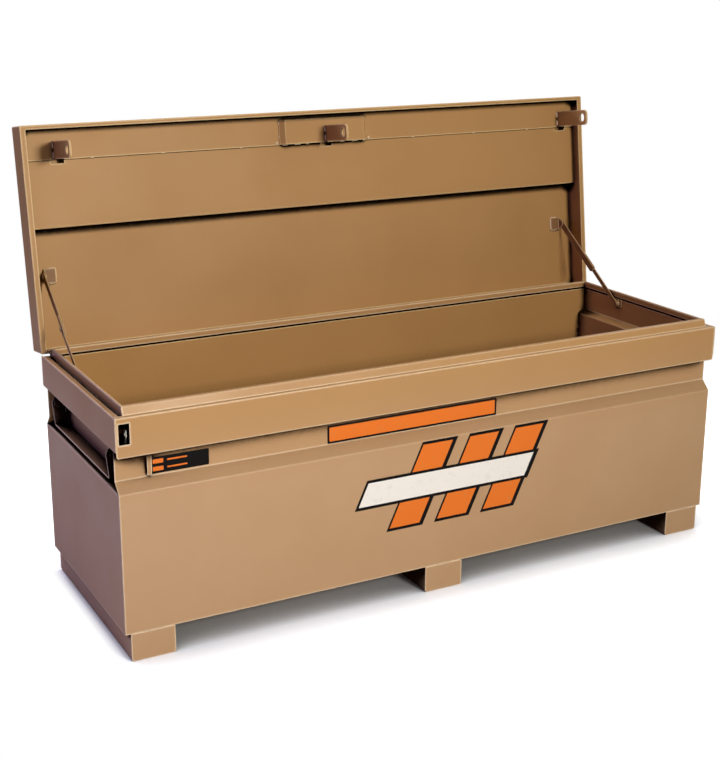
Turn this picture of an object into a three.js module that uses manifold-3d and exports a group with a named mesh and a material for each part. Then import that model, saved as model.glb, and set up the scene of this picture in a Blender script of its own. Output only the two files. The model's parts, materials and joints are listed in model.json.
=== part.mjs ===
// Jobsite storage chest of folded sheet, with its lid open on its stays.
// Millimetres, +Z up. Pieces are drawn from the body's front left bottom corner:
// x runs along the chest, y from its front to its rear, z up from the ground.
// The whole is then moved so that its origin is the centre of the middle skid's underside.

import * as THREE from 'three';
import { mergeVertices } from 'three/addons/utils/BufferGeometryUtils.js';
import Module from 'manifold-3d';

const wasm = await Module();
wasm.setup();

// Driving sizes of the chest
const length = 1829;
const depth = 610;
const sheet = 1.6;
const bendRadius = 1.5;
const seam = 0.3;
const overrun = 8;
const openAngle = 97.5;

// Heights of the body, which hang from the seat of the lid
const skidHeight = 75;
const seatHeight = 637;
const lipRise = 21;
const lipHeight = seatHeight + lipRise;
const panelUnderSeat = 2.2;
const panelTop = seatHeight - panelUnderSeat;

// Headers
const frontProud = 4;
const sideProud = 4;
const frontHeaderHeight = 102;
const sideHeaderHeight = 87;
const frontHeaderBottom = seatHeight - frontHeaderHeight;
const sideHeaderBottom = seatHeight - sideHeaderHeight;
const headerCornerRadius = 7;
const hemWidth = 10;
const seatWidth = 13;
const rearSeatDrop = 3.5;
const sideSeatEdge = 12;
const riseWidth = 8;
const gutterWidth = 8;
const gutterDrop = 6;
const sideRise = sideSeatEdge + gutterWidth;
const flangeHeight = 17;
const flangeBottom = lipHeight - flangeHeight;

// Belt and set-back band of the front and rear panels
const handOpening = 108;
const beltHeight = sideHeaderBottom - handOpening;
const bandSetBack = 27;

// Side channels, which hold the drop handles
const channelDepth = 46.4;
const channelRise = 4;
const ceilingSlope = 12;
const channelTop = sideHeaderBottom + channelRise;
const ceilingTop = channelTop + ceilingSlope;
const upperWallInset = 24.8;

// Lid
const lidFront = -frontProud;
const rimGap = 1.5;
const lidHeight = 79.1;
const lidRim = seatHeight + rimGap;
const lidTop = lidRim + lidHeight;
const lidCornerRadius = 4;
const rimWidth = 11.3;
const innerPanelDepth = 39.5;
const innerPanelHeight = lidRim + innerPanelDepth;
const lapWidth = 10;
const lapEnd = 91;
const stiffenerEnd = 275;
const frontFlange = 22;
const notchLead = 10;
const notchWidth = 38;
const notchDepth = 12;
const notchLap = 2;

// Box inside the lid's front, which carries the centre hasp
const centreBoxWidth = 289;
const centreBoxShift = 3;
const centreBoxSlant = 14;
const centreBoxDrop = 17;
const centreBoxFront = 19;
const centreBoxDepth = 71;
const centreBoxLeft = (length - centreBoxWidth) / 2 - centreBoxShift;
const centreBoxRight = centreBoxLeft + centreBoxWidth;

// Hinge
const knuckleRadius = 4;
const knuckleBore = 2.5;
const hingePinRadius = 2;
const hingeInset = 20;
const leafWidth = 34;
const knuckleClearance = 0.6;
const knuckleCount = 30;
const pinAboveRim = 0.5;
const rebateDepth = 4.8;
const rebateHeight = 5.1;
const hingeY = depth;
const hingeZ = lidRim + pinAboveRim;

// Hasps, and the sliding latch that passes its pins through them
const haspThickness = 6;
const haspFront = 41;
const haspWidth = 47;
const haspRear = haspFront + haspWidth;
const haspDrop = 10;
const haspBottom = frontHeaderBottom - haspDrop;
const haspCornerRadius = 14;
const haspHoleWidth = 25;
const haspHoleHeight = 24;
const haspHoleRadius = 10;
const haspHoleRise = 23;
const latchPinHeight = haspBottom + haspHoleRise;
const latchTravel = 25;
const latchPinRadius = 4.5;
const latchPinLength = 24;
const latchPinGap = 11;
const latchBossRadius = 10;
const latchBracketThickness = 4;
const latchFootLength = 20;
const latchFootThickness = 3;
const barHeight = 30;
const barThickness = 4;
const barTop = frontHeaderBottom;
const barBottom = barTop - barHeight;
const slideGap = 0.6;
const barStart = channelDepth + sheet + slideGap;
const barEndShort = 8;
const firstHaspReach = 44;
const lastHaspRoom = 16;
const middleHaspShift = 3.5;
const haspPlaces = [
  barStart + firstHaspReach,
  length / 2 - middleHaspShift,
  length - channelDepth - sheet - lastHaspRoom,
];
const guidePlaceShares = [0.18, 0.383, 0.776];
const guideLength = 32;
const guideTab = 12;

// Latch tab outside the band, and the arm that it sends to the lock opening
const tabLeft = 80;
const tabWidth = 12;
const tabThickness = 4;
const tabSetBack = 4;
const tabRise = 5;
const tabBend = 10;
const tabBottom = beltHeight + bandSetBack + tabRise;
const bridgeDrop = 12;
const bridgeHeight = 8;
const bridgeBottom = frontHeaderBottom - bridgeDrop;

// Lock opening at the left end of the front header, with its lug and the end of the arm
const openingLeft = 4;
const openingRight = 33;
const openingHeight = 54;
const openingUnderSeat = 15;
const openingTop = seatHeight - openingUnderSeat;
const openingBottom = openingTop - openingHeight;
const lugThickness = 3;
const lugRightRoom = 5.5;
const lugDepth = 13;
const lugHeight = 33.7;
const lugChamfer = 3;
const lugEdge = 17;
const lugFoot = 6;
const lugGap = 2;
const lugHoleDrop = 11;
const lugHoleRadius = 5.5;
const armDrop = 32;
const armHeight = 10;
const armStart = 8;
const armBottom = openingTop - armDrop;

// Drop handles
const handleFront = 92;
const handleRearInset = 54;
const handleRear = depth - handleRearInset;
const handleStrip = 4;
const handlePivotX = 19;
const handlePivotDrop = 35;
const handlePivotZ = sideHeaderBottom - handlePivotDrop;
const handleEndRadius = 17;
const gripRise = 10;
const gripBottom = beltHeight + gripRise;
const gripOuter = 7.5;
const gripInner = 35;
const handleRivetRadius = 5;
const handleHoleRadius = 5.7;
const handleHeadRadius = 9;
const handleHeadThickness = 3;
const earThickness = 3;
const earRadius = 12;
const earFlange = 26;
const earFlangeHeight = 34;
const handleGap = 0.5;

// Lid stays: two flat links in planes parallel to the chest's ends
const stayRearInset = 206;
const stayDrop = 35;
const stayLean = 2;
const stayPivotDepth = 13.6;
const stayBodyY = depth - stayRearInset;
const stayBodyZ = lipHeight - stayDrop;
const stayLidY = stayBodyY + stayLean;
const stayLidZ = lidTop - stayPivotDepth;
const stayPlane = 36;
const linkThickness = 3;
const upperHalfWidth = 11;
const lowerHalfWidth = 7;
const linkGap = 0.5;
const lowerLinkShare = 0.468;
const kneeReach = 24;
const stayRivetRadius = 3.5;
const stayHoleRadius = 4.1;
const stayHeadRadius = 6.5;
const stayHeadThickness = 2.5;
const stayBossRadius = 9;
const stopFlangeAbove = 40;
const stopFlangeBelow = 22;
const stopFlangeThickness = 2.4;
const stayPlate = 3;
const stayPlateHalfLength = 17;
const stayPlateHalfHeight = 13;
const lidPlateLength = 40;
const lidPlateWidth = 34;

// Skids
const skidWidth = 116;
const skidInset = 14;
const skidSheet = 3;
const floorFlange = 25;

// Smoothness of rounds, as counts
const bendSteps = 2;
const cornerSteps = 4;
const roundSides = 16;
const knuckleSides = 12;

// Materials
const paint = { color: 0xb8906a, roughness: 0.45, metalness: 0.0 };
const innerPaint = { color: 0xae8454, roughness: 0.5, metalness: 0.0 };
const zinc = { color: 0xb9b6ae, roughness: 0.4, metalness: 0.9 };
const darkSteel = { color: 0x5c5650, roughness: 0.55, metalness: 0.8 };

// A piece of the chest: a named mesh with its own material
function piece(name, geometry, finish) {
  const mesh = new THREE.Mesh(geometry, new THREE.MeshStandardMaterial(finish));
  mesh.name = name;
  return mesh;
}

// Joining and cutting of closed solids
function toSolid(geometry) {
  const bare = geometry.clone();
  bare.deleteAttribute('normal');
  bare.deleteAttribute('uv');
  const merged = mergeVertices(bare);
  return new wasm.Manifold(new wasm.Mesh({
    numProp: 3,
    vertProperties: merged.attributes.position.array,
    triVerts: new Uint32Array(merged.index.array),
  }));
}

function toGeometry(solid) {
  const mesh = solid.getMesh();
  const indexed = new THREE.BufferGeometry();
  indexed.setAttribute('position', new THREE.BufferAttribute(mesh.vertProperties, mesh.numProp));
  indexed.setIndex(new THREE.BufferAttribute(mesh.triVerts, 1));
  const loose = indexed.toNonIndexed();
  loose.computeVertexNormals();
  return loose;
}

function join(...geometries) {
  return toGeometry(geometries.map(toSolid).reduce((sum, part) => sum.add(part)));
}

function cut(geometry, ...tools) {
  return toGeometry(tools.map(toSolid).reduce((rest, tool) => rest.subtract(tool), toSolid(geometry)));
}

function common(first, second) {
  return toGeometry(toSolid(first).intersect(toSolid(second)));
}

// The same piece at the other end of the chest
function mirrored(geometry) {
  const copy = geometry.index ? geometry.toNonIndexed() : geometry.clone();
  const position = copy.attributes.position;
  const corner = new THREE.Vector3();
  const turned = new Float32Array(position.array.length);
  for (let i = 0; i < position.count; i += 1) {
    const swapped = i % 3 === 0 ? i : (i % 3 === 1 ? i + 1 : i - 1);
    corner.fromBufferAttribute(position, swapped);
    turned.set([length - corner.x, corner.y, corner.z], i * position.itemSize);
  }
  const other = new THREE.BufferGeometry();
  other.setAttribute('position', new THREE.BufferAttribute(turned, position.itemSize));
  other.computeVertexNormals();
  return other;
}

// Extrusions: an outline in (y, z) along x, in (x, z) along y, or in (x, y) along z
const yzAxes = new THREE.Matrix4().makeBasis(
  new THREE.Vector3(0, 1, 0), new THREE.Vector3(0, 0, 1), new THREE.Vector3(1, 0, 0));
const xzAxes = new THREE.Matrix4().makeBasis(
  new THREE.Vector3(1, 0, 0), new THREE.Vector3(0, 0, 1), new THREE.Vector3(0, -1, 0));

function extruded(shape, reach) {
  return new THREE.ExtrudeGeometry(shape, { depth: reach, bevelEnabled: false, curveSegments: cornerSteps });
}

function alongX(shape, from, to) {
  return extruded(shape, to - from).applyMatrix4(yzAxes).translate(from, 0, 0);
}

function alongY(shape, from, to) {
  return extruded(shape, to - from).applyMatrix4(xzAxes).translate(0, to, 0);
}

function alongZ(shape, from, to) {
  return extruded(shape, to - from).translate(0, 0, from);
}

function block(x0, x1, y0, y1, z0, z1) {
  const geometry = new THREE.BoxGeometry(x1 - x0, y1 - y0, z1 - z0);
  return geometry.translate((x0 + x1) / 2, (y0 + y1) / 2, (z0 + z1) / 2);
}

function rodAlongX(radius, from, to, y, z, sides = roundSides) {
  const geometry = new THREE.CylinderGeometry(radius, radius, to - from, sides);
  geometry.rotateZ(Math.PI / 2);
  return geometry.translate((from + to) / 2, y, z);
}

function rodAlongY(radius, from, to, x, z) {
  const geometry = new THREE.CylinderGeometry(radius, radius, to - from, roundSides);
  return geometry.translate(x, (from + to) / 2, z);
}

function rodAlongZ(radius, from, to, x, y) {
  const geometry = new THREE.CylinderGeometry(radius, radius, to - from, roundSides);
  geometry.rotateX(Math.PI / 2);
  return geometry.translate(x, y, (from + to) / 2);
}

// The two faces of a folded sheet. The path is one face's corner points, every bend is rounded,
// and the metal lies to the left of the path (side 1) or to its right (side -1).
function foldedFaces(path, thickness, side, radius) {
  const corners = path.map(([x, y]) => new THREE.Vector2(x, y));
  const face = [];
  const back = [];
  const put = (point, across) => {
    face.push(point);
    back.push(point.clone().addScaledVector(across, thickness * side));
  };
  const leftOf = (way) => new THREE.Vector2(-way.y, way.x);
  const wayFrom = (i) => corners[i + 1].clone().sub(corners[i]).normalize();
  put(corners[0], leftOf(wayFrom(0)));
  for (let i = 1; i < corners.length - 1; i += 1) {
    const into = wayFrom(i - 1);
    const out = wayFrom(i);
    const turn = Math.atan2(into.cross(out), into.dot(out));
    const faceRadius = radius + (turn * side > 0 ? thickness : 0);
    const reach = faceRadius * Math.tan(Math.abs(turn) / 2);
    const toCentre = faceRadius * Math.sign(turn);
    const centre = corners[i].clone().addScaledVector(into, -reach).addScaledVector(leftOf(into), toCentre);
    for (let k = 0; k <= bendSteps; k += 1) {
      const across = leftOf(into).rotateAround(new THREE.Vector2(), turn * k / bendSteps);
      put(centre.clone().addScaledVector(across, -toCentre), across);
    }
  }
  put(corners.at(-1), leftOf(wayFrom(corners.length - 2)));
  return { face, back };
}

function foldedSheet(path, side, thickness = sheet, radius = bendRadius) {
  const { face, back } = foldedFaces(path, thickness, side, radius);
  return new THREE.Shape([...face, ...back.reverse()]);
}

function outline(points) {
  return new THREE.Shape(points.map(([x, y]) => new THREE.Vector2(x, y)));
}

// A rectangle with rounded corners, drawn anticlockwise
function roundedRectangle(x0, x1, y0, y1, radius) {
  const shape = new THREE.Shape();
  shape.absarc(x1 - radius, y0 + radius, radius, -Math.PI / 2, 0);
  shape.absarc(x1 - radius, y1 - radius, radius, 0, Math.PI / 2);
  shape.absarc(x0 + radius, y1 - radius, radius, Math.PI / 2, Math.PI);
  shape.absarc(x0 + radius, y0 + radius, radius, Math.PI, 3 * Math.PI / 2);
  return shape;
}

// Front and rear share their profiles: a place is so far in from the front or from the rear
const fromFront = { place: (inward) => inward, side: -1 };
const fromRear = { place: (inward) => depth - inward, side: 1 };

// Front and rear panels: upright face, belt slope at 45 degrees, set-back band
const panelBottom = skidHeight + seam;
const panelPath = [
  [0, panelBottom],
  [0, beltHeight],
  [bandSetBack, beltHeight + bandSetBack],
  [bandSetBack, panelTop],
];

function panelShape(wall) {
  return foldedSheet(panelPath.map(([inward, z]) => [wall.place(inward), z]), wall.side);
}

// What a front or rear panel keeps the pieces inside it clear of
function panelKeepOut(wall) {
  const path = panelPath.map(([inward, z]) => [wall.place(inward), z]);
  const { back } = foldedFaces(path, sheet + seam, wall.side, bendRadius);
  const inner = back.map((point) => [point.x, point.y]);
  const outside = wall.place(-overrun);
  const [lowY, lowZ] = inner[0];
  const [highY, highZ] = inner.at(-1);
  return outline([
    [lowY, lowZ - overrun], ...inner.slice(1, -1), [highY, highZ + overrun],
    [outside, highZ + overrun], [outside, lowZ - overrun],
  ]);
}

function wallPanel(wall, ...cuts) {
  const whole = alongX(panelShape(wall), 0, length);
  const pastHem = hemWidth - sideProud + seam;
  const notchY = [wall.place(-overrun), wall.place(bandSetBack + overrun)].sort((a, b) => a - b);
  const notch = (room, low) => [
    block(-overrun, room, ...notchY, low, panelTop + overrun),
    block(length - room, length + overrun, ...notchY, low, panelTop + overrun),
  ];
  const underGutter = seatHeight - gutterDrop - sheet - seam;
  return cut(
    whole, ...notch(pastHem, sideHeaderBottom - seam), ...notch(sideRise + seam, underGutter), ...cuts);
}

// The latch tab's bridge slides in a slot of the band, which the header hides
function bandSlot() {
  const play = slideGap * 2;
  return block(
    tabLeft - play, tabLeft + tabWidth + latchTravel + play,
    bandSetBack - overrun, bandSetBack + overrun,
    bridgeBottom - slideGap, bridgeBottom + bridgeHeight + slideGap);
}

// Side panels: lower face, channel floor, channel back, sloped ceiling and upper wall
function sidePanel() {
  const path = [
    [0, panelBottom],
    [0, beltHeight],
    [channelDepth, beltHeight],
    [channelDepth, channelTop],
    [upperWallInset, ceilingTop],
    [upperWallInset, panelTop],
  ];
  const whole = alongY(foldedSheet(path, -1), 0, depth);
  const keepOut = (wall) => alongX(panelKeepOut(wall), -overrun, channelDepth + overrun);
  return cut(whole, keepOut(fromFront), keepOut(fromRear));
}

// Floor pan, turned up at front and rear
function floorPanel() {
  const inset = sheet + seam;
  const path = [
    [inset, panelBottom + floorFlange],
    [inset, panelBottom],
    [depth - inset, panelBottom],
    [depth - inset, panelBottom + floorFlange],
  ];
  return alongX(foldedSheet(path, 1), inset, length - inset);
}

// Skids: folded channels, closed by a plate at each end
function skid(left) {
  const right = left + skidWidth;
  const path = [[left, skidHeight], [left, 0], [right, 0], [right, skidHeight]];
  const channel = alongY(foldedSheet(path, 1, skidSheet, skidSheet), 0, depth);
  const { face } = foldedFaces(path, skidSheet, 1, skidSheet);
  const plate = (y) => alongY(new THREE.Shape(face), y, y + skidSheet);
  return join(channel, plate(0), plate(depth - skidSheet));
}

// Front and rear headers: face, seat for the lid's rim, rise to the lip, and inner wall
const innerWallFace = bandSetBack + sheet + seam + sheet;
const railEnd = sheet + seam - sideProud;

function header(wall, proud, bottom, seat) {
  const path = [
    [hemWidth - proud, bottom],
    [-proud, bottom],
    [-proud, seat],
    [seatWidth - proud, seat],
    [seatWidth - proud + riseWidth, lipHeight],
    [innerWallFace, lipHeight],
    [innerWallFace, flangeBottom],
  ].map(([inward, z]) => [wall.place(inward), z]);
  const rail = alongX(foldedSheet(path, wall.side), railEnd, length - railEnd);
  const span = (from, to) => [wall.place(from), wall.place(to)].sort((a, b) => a - b);
  const seatEdge = span(seatWidth - proud, innerWallFace + overrun);
  const wallOnly = span(bandSetBack, innerWallFace + overrun);
  const sideWall = upperWallInset + sheet + seam;
  const low = seat - sheet - overrun;
  const endCut = (room, depths, high) => [
    block(-overrun, room, ...depths, low, high),
    block(length - room, length + overrun, ...depths, low, high),
  ];
  const trimmed = cut(
    rail,
    ...endCut(sideRise + seam, seatEdge, lipHeight + overrun),
    ...endCut(sideWall, wallOnly, lipHeight - sheet));
  const riseClose = outline([
    [wall.place(seatWidth - proud), seat - sheet],
    [wall.place(seatWidth - proud), seat],
    [wall.place(seatWidth - proud + riseWidth), lipHeight - sheet / 2],
    [wall.place(innerWallFace - sheet / 2), lipHeight - sheet / 2],
    [wall.place(innerWallFace - sheet / 2), panelTop + sheet],
  ]);
  const closing = alongX(riseClose, sideRise + seam, sideRise + seam + sheet);
  return join(trimmed, closing, mirrored(closing));
}

function lockOpening() {
  return block(
    openingLeft, openingRight, -frontProud - overrun, 0, openingBottom, openingTop);
}

// What rounds off the lower corner at the left end of the front header
function headerCorner() {
  const radius = headerCornerRadius;
  const shape = new THREE.Shape();
  shape.moveTo(railEnd - overrun, frontHeaderBottom - overrun);
  shape.lineTo(railEnd + radius, frontHeaderBottom - overrun);
  shape.absarc(railEnd + radius, frontHeaderBottom + radius, radius, 3 * Math.PI / 2, Math.PI, true);
  shape.lineTo(railEnd - overrun, frontHeaderBottom + radius);
  return alongY(shape, -frontProud - overrun, hemWidth + overrun);
}

// Side headers: face, seat, rain gutter, rise, lip and inner wall
const sideInnerFace = upperWallInset + sheet + seam + sheet;

function sideHeader() {
  const path = [
    [hemWidth - sideProud, sideHeaderBottom],
    [-sideProud, sideHeaderBottom],
    [-sideProud, seatHeight],
    [sideSeatEdge, seatHeight],
    [sideSeatEdge, seatHeight - gutterDrop],
    [sideRise, seatHeight - gutterDrop],
    [sideRise, lipHeight],
    [sideInnerFace, lipHeight],
    [sideInnerFace, flangeBottom],
  ];
  const rail = alongY(foldedSheet(path, -1), -frontProud, depth);
  const low = sideHeaderBottom - overrun;
  const high = lipHeight + overrun;
  const right = sideInnerFace + overrun;
  const wallRoom = innerWallFace + seam;
  const frontSeatEdge = seatWidth - frontProud + seam;
  const rearSeatEdge = depth - seatWidth - seam;
  return cut(
    rail,
    block(sheet - sideProud, right, -frontProud - overrun, frontSeatEdge, low, high),
    block(sheet - sideProud, right, rearSeatEdge, depth + overrun, low, high),
    block(sideRise, right, -overrun, wallRoom, low, high),
    block(sideRise, right, depth - wallRoom, depth + overrun, low, high));
}

// Lock housing: an open-fronted box behind the lock opening, with a window for the latch arm
const housingFront = sheet + seam - frontProud;
const housingRear = bandSetBack - seam;

function lockHousing() {
  const whole = block(
    openingLeft - sheet, openingRight + sheet, housingFront, housingRear,
    openingBottom - sheet, openingTop + sheet);
  const hollow = block(
    openingLeft, openingRight, housingFront - overrun, housingRear - sheet, openingBottom, openingTop);
  const window = block(
    openingRight - overrun, openingRight + overrun, housingFront + overrun, housingRear - sheet,
    armBottom - tabSetBack, armBottom + armHeight + tabSetBack);
  return cut(whole, hollow, window);
}

// Fixed lug: a blade on the housing's floor. The padlock's shackle hangs in its hole
// and stands in the arm's way.
function lockLug() {
  const right = openingRight - lugRightRoom;
  const rear = bandSetBack - tabSetBack - tabThickness - lugGap;
  const front = rear - lugDepth;
  const floor = openingBottom + seam;
  const top = floor + lugHeight;
  const blade = alongX(outline([
    [rear, floor],
    [rear, top],
    [front + lugChamfer, top],
    [front, top - lugChamfer],
    [front, top - lugEdge],
    [rear - lugFoot, floor],
  ]), right - lugThickness, right);
  const hole = rodAlongX(
    lugHoleRadius, right - lugThickness - overrun, right + overrun, (front + rear) / 2, top - lugHoleDrop);
  return cut(blade, hole);
}

// Handle brackets: an ear off the channel's back wall, with the pivot rivet and its head
function handleBracket(legNear, legFar, inward) {
  const wallX = channelDepth - seam;
  const earNear = legNear + inward * handleGap;
  const earFar = earNear + inward * earThickness;
  const ordered = (a, b) => [Math.min(a, b), Math.max(a, b)];
  const nose = new THREE.Shape();
  nose.absarc(handlePivotX, handlePivotZ, earRadius, Math.PI / 2, 3 * Math.PI / 2);
  nose.lineTo(wallX, handlePivotZ - earFlangeHeight / 2);
  nose.lineTo(wallX, handlePivotZ + earFlangeHeight / 2);
  const ear = alongY(nose, ...ordered(earNear, earFar));
  const flange = block(
    wallX - earThickness, wallX, ...ordered(earNear, earNear + inward * earFlange),
    handlePivotZ - earFlangeHeight / 2, handlePivotZ + earFlangeHeight / 2);
  const headNear = legFar - inward * handleGap;
  const rivetSpan = ordered((earNear + earFar) / 2, headNear - inward * handleHeadThickness / 2);
  const rivet = rodAlongY(handleRivetRadius, ...rivetSpan, handlePivotX, handlePivotZ);
  const headSpan = ordered(headNear, headNear - inward * handleHeadThickness);
  const head = rodAlongY(handleHeadRadius, ...headSpan, handlePivotX, handlePivotZ);
  return join(ear, flange, rivet, head);
}

const handleBrackets = {
  front: () => handleBracket(handleFront + handleStrip, handleFront, 1),
  rear: () => handleBracket(handleRear - handleStrip, handleRear, -1),
};

// Drop handle: a flat strip bent to a U, with tapered legs and rounded ends
function dropHandle() {
  const legTop = handlePivotZ + handleEndRadius;
  const strip = foldedSheet([
    [handleFront, legTop],
    [handleFront, gripBottom],
    [handleRear, gripBottom],
    [handleRear, legTop],
  ], 1, handleStrip, handleStrip);
  const bent = alongX(strip, 0, gripInner + overrun);
  const side = new THREE.Shape();
  side.moveTo(gripOuter, gripBottom - overrun);
  side.lineTo(gripInner, gripBottom - overrun);
  side.lineTo(gripInner, gripBottom + handleEndRadius);
  side.absarc(handlePivotX, handlePivotZ, handleEndRadius, 0, Math.PI);
  side.lineTo(gripOuter, gripBottom + handleStrip);
  const trimmed = common(bent, alongY(side, handleFront - overrun, handleRear + overrun));
  const bore = rodAlongY(
    handleHoleRadius, handleFront - overrun, handleRear + overrun, handlePivotX, handlePivotZ);
  return cut(trimmed, bore);
}

// Latch bar, held flat against the band by its guides
const barFront = bandSetBack + sheet + slideGap;
const barRear = barFront + barThickness;
const haspMiddle = (haspFront + haspRear) / 2;

function latchPinTip(hasp) {
  return hasp - latchPinGap;
}

function latchBar() {
  const end = latchPinTip(haspPlaces.at(-1)) - barEndShort;
  return block(barStart, end, barFront, barRear, barBottom, barTop);
}

// Guide: a strap over the bar, flat on the band above and below it
function latchGuide(left) {
  const seat = bandSetBack + sheet + seam;
  const back = barRear + slideGap;
  const path = [
    [seat, barBottom - slideGap - guideTab],
    [seat, barBottom - slideGap],
    [back, barBottom - slideGap],
    [back, barTop + slideGap],
    [seat, barTop + slideGap],
    [seat, barTop + slideGap + guideTab],
  ];
  return alongX(foldedSheet(path, -1), left, left + guideLength);
}

// Latch bracket: a foot on the bar, an arm out to the boss, and the pin
function latchBracket(hasp) {
  const tip = latchPinTip(hasp);
  const plateRight = tip - latchPinLength;
  const plateLeft = plateRight - latchBracketThickness;
  const foot = barRear + seam;
  const arm = new THREE.Shape();
  arm.moveTo(foot, barBottom);
  arm.lineTo(foot + latchFootThickness, barBottom);
  arm.absarc(haspMiddle, latchPinHeight, latchBossRadius, -Math.PI / 4, 3 * Math.PI / 4);
  arm.lineTo(foot, barTop);
  const plate = alongX(arm, plateLeft, plateRight);
  const base = block(
    plateLeft, plateLeft + latchFootLength, foot, foot + latchFootThickness, barBottom, barTop);
  const pin = rodAlongX(latchPinRadius, plateLeft, tip, haspMiddle, latchPinHeight);
  return join(plate, base, pin);
}

// Latch tab: a grip in front of the band, a bridge through the band's slot, and the lock arm
function latchTab() {
  const rear = bandSetBack - tabSetBack;
  const front = rear - tabThickness;
  const grip = alongX(foldedSheet([
    [bandSetBack - slideGap - tabThickness, tabBottom],
    [front, tabBottom + tabBend],
    [front, armBottom + armHeight],
  ], -1, tabThickness), tabLeft, tabLeft + tabWidth);
  const bridge = block(
    tabLeft, tabLeft + tabWidth, (front + rear) / 2, barFront - seam,
    bridgeBottom, bridgeBottom + bridgeHeight);
  const arm = block(armStart, tabLeft + tabWidth / 2, front, rear, armBottom, armBottom + armHeight);
  return join(grip, bridge, arm);
}

// Lid shell: skin, four skirts and a rim turned in at their edge
const lidEnd = -sideProud;

function lidPlan(inset, radius) {
  return roundedRectangle(
    lidEnd + inset, length - lidEnd - inset, lidFront + inset, depth - inset, radius);
}

// Room along the lid's rear edge for the hinge's knuckles
function knuckleRoom(wall) {
  const start = hingeInset - knuckleClearance - wall;
  return block(
    start, length - start, depth - rebateDepth - wall, depth + overrun,
    lidRim - overrun, lidRim + rebateHeight + wall);
}

function lidShell() {
  const whole = cut(alongZ(lidPlan(0, lidCornerRadius), lidRim, lidTop), knuckleRoom(0));
  const hollow = cut(
    alongZ(lidPlan(sheet, lidCornerRadius - sheet), lidRim + sheet, lidTop - sheet), knuckleRoom(sheet));
  const mouth = alongZ(roundedRectangle(
    rimWidth, length - rimWidth, lidFront + rimWidth, depth - rimWidth, lidCornerRadius,
  ), lidRim - overrun, lidRim + overrun);
  return cut(whole, hollow, mouth);
}

// Slots through both inner panels at their seam, one behind each hasp
function haspNotches() {
  const front = lapEnd - notchLap;
  return haspPlaces.map((place) => block(
    place - notchLead, place - notchLead + notchWidth, front, front + notchDepth,
    innerPanelHeight - overrun, innerPanelHeight + overrun));
}

// Narrow inner panel at the lid's front, lapped over the stiffener at its seam
function lidFrontPanel() {
  const skirt = lidFront + sheet + seam;
  const path = [
    [skirt, innerPanelHeight + frontFlange],
    [skirt, innerPanelHeight],
    [lapEnd, innerPanelHeight],
  ];
  const panel = alongX(foldedSheet(path, 1), lidEnd + lidCornerRadius, length - lidEnd - lidCornerRadius);
  return cut(panel, ...haspNotches());
}

// Stiffener: a wide pan, folded back to the skin at its rear edge
function lidStiffener() {
  const face = innerPanelHeight + sheet + seam;
  const path = [
    [lapEnd - lapWidth, face],
    [stiffenerEnd, face],
    [stiffenerEnd, lidTop - sheet - seam],
  ];
  const pan = alongX(foldedSheet(path, 1), lidEnd + lidCornerRadius, length - lidEnd - lidCornerRadius);
  return cut(pan, ...haspNotches());
}

// Centre box: a shallow tray with slanted ends, which clears the front header's lip
function lidCentreBox() {
  const slope = new THREE.Vector2(centreBoxSlant, -centreBoxDrop).normalize();
  const top = innerPanelHeight - seam - sheet * slope.x;
  const face = innerPanelHeight - centreBoxDrop;
  const path = [
    [centreBoxLeft, top],
    [centreBoxLeft + centreBoxSlant, face],
    [centreBoxRight - centreBoxSlant, face],
    [centreBoxRight, top],
  ];
  return alongY(foldedSheet(path, 1), centreBoxFront, centreBoxFront + centreBoxDepth);
}

// Hasp: a plate welded on edge, with two rounded free corners and a hole for the latch pin
function hasp(left, seat) {
  const top = seat - seam;
  const radius = haspCornerRadius;
  const shape = new THREE.Shape();
  shape.moveTo(haspRear, top);
  shape.lineTo(haspFront, top);
  shape.absarc(haspFront + radius, haspBottom + radius, radius, Math.PI, 3 * Math.PI / 2);
  shape.absarc(haspRear - radius, haspBottom + radius, radius, 3 * Math.PI / 2, 2 * Math.PI);
  const plate = alongX(shape, left, left + haspThickness);
  const hole = alongX(roundedRectangle(
    haspMiddle - haspHoleWidth / 2, haspMiddle + haspHoleWidth / 2,
    latchPinHeight - haspHoleHeight / 2, latchPinHeight + haspHoleHeight / 2, haspHoleRadius,
  ), left - overrun, left + haspThickness + overrun);
  return cut(plate, hole);
}

// Continuous hinge: each leaf carries every other knuckle
function hingeLeaf(upward, firstKnuckle) {
  const start = hingeInset;
  const pitch = (length - 2 * hingeInset) / knuckleCount;
  const nearEdge = knuckleRadius + knuckleClearance;
  const ordered = (a, b) => [Math.min(a, b), Math.max(a, b)];
  const leafFront = depth + seam;
  const strip = block(
    start, length - start, leafFront, leafFront + sheet,
    ...ordered(hingeZ + upward * nearEdge, hingeZ + upward * leafWidth));
  const solids = [];
  const bores = [];
  for (let i = firstKnuckle; i < knuckleCount; i += 2) {
    const left = start + i * pitch + knuckleClearance / 2;
    const right = left + pitch - knuckleClearance;
    const web = block(
      left, right, leafFront, leafFront + sheet, ...ordered(hingeZ, hingeZ + upward * (nearEdge + sheet)));
    solids.push(web, rodAlongX(knuckleRadius, left, right, hingeY, hingeZ, knuckleSides));
    bores.push(rodAlongX(knuckleBore, left - overrun, right + overrun, hingeY, hingeZ, knuckleSides));
  }
  return cut(join(strip, ...solids), ...bores);
}

function hingePin() {
  return rodAlongX(hingePinRadius, hingeInset, length - hingeInset, hingeY, hingeZ, knuckleSides);
}

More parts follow.
